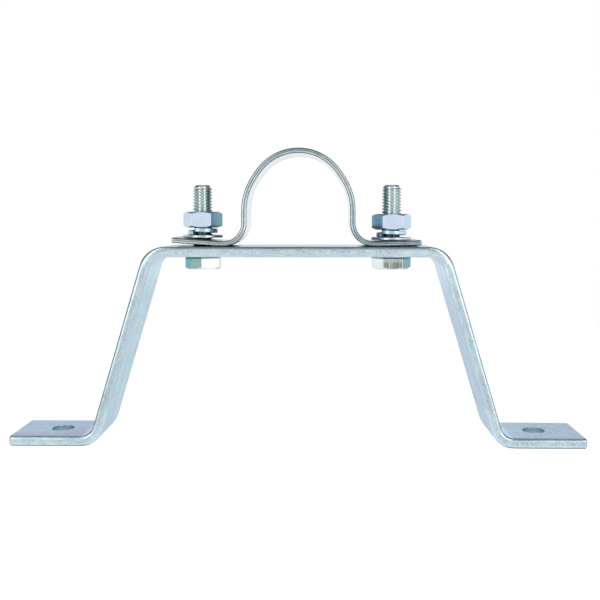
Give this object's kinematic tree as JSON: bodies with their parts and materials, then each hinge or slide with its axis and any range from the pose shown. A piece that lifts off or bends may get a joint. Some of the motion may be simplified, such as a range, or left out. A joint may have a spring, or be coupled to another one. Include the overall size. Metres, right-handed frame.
{
  "type": "ladder stabilizer stand-off bracket",
  "caption": "Zinc-plated flat-bar stand-off with drilled feet and a bolted omega strap that clamps a round tube or rail.",
  "frame": {"origin": "middle of the plane that both feet stand on", "axes": "+X along the bar, from foot to foot; +Y across the bar; +Z from the feet up to the tube strap"},
  "size_m": [0.285, 0.035, 0.1458],
  "materials": {
    "bar_zinc": "bright zinc plate with a blue passivation, faint rolling streaks, darker sheared edges",
    "strap_zinc": "bright zinc plate, greyer on its sheared edges",
    "bolt_zinc": "bright zinc plate with a green-blue passivation",
    "nut_zinc": "bright zinc plate with a pale blue passivation",
    "washer_zinc": "bright zinc plate, stamped",
    "spring_zinc": "zinc-plated spring steel, darker than the rest"
  },
  "bodies": {
    "base": {"bracket": "bar_zinc", "left_bolt": "bolt_zinc", "right_bolt": "bolt_zinc"},
    "strap": {"pipe_strap": "strap_zinc"},
    "left_washer": {"left_flat_washer": "washer_zinc"},
    "left_spring": {"left_spring_washer": "spring_zinc"},
    "left_nut": {"left_nut": "nut_zinc"},
    "right_washer": {"right_flat_washer": "washer_zinc"},
    "right_spring": {"right_spring_washer": "spring_zinc"},
    "right_nut": {"right_nut": "nut_zinc"}
  },
  "joints": [
    {"name": "strap_lift", "type": "slide", "parent": "base", "child": "strap", "axis": [0, 0, 1], "range_m": [0, 0.012]},
    {"name": "left_stack_turn", "type": "hinge", "parent": "strap", "child": "left_washer", "pos_m": [-0.047, 0, 0.10267], "axis": [0, 0, 1], "range_deg": [0, 2880.1]},
    {"name": "left_spring_press", "type": "slide", "parent": "left_washer", "child": "left_spring", "axis": [0, 0, 1], "range_m": [-0.0015, 0], "deforming": ["left_spring_washer"]},
    {"name": "left_nut_spin", "type": "hinge", "parent": "left_spring", "child": "left_nut", "pos_m": [-0.047, 0, 0.10761], "axis": [0, 0, 1], "range_deg": [-360.1, 0]},
    {"name": "right_stack_turn", "type": "hinge", "parent": "strap", "child": "right_washer", "pos_m": [0.047, 0, 0.10158], "axis": [0, 0, 1], "range_deg": [0, 2880.1]},
    {"name": "right_spring_press", "type": "slide", "parent": "right_washer", "child": "right_spring", "axis": [0, 0, 1], "range_m": [-0.0015, 0], "deforming": ["right_spring_washer"]},
    {"name": "right_nut_spin", "type": "hinge", "parent": "right_spring", "child": "right_nut", "pos_m": [0.047, 0, 0.10652], "axis": [0, 0, 1], "range_deg": [-360.1, 0]}
  ],
  "couplings": [
    {"joint": "left_stack_turn", "follows": "strap_lift", "rad_per_m": 4188.8},
    {"joint": "left_nut_spin", "follows": "left_spring_press", "rad_per_m": 4188.8},
    {"joint": "right_stack_turn", "follows": "strap_lift", "rad_per_m": 4188.8},
    {"joint": "right_nut_spin", "follows": "right_spring_press", "rad_per_m": 4188.8}
  ]
}
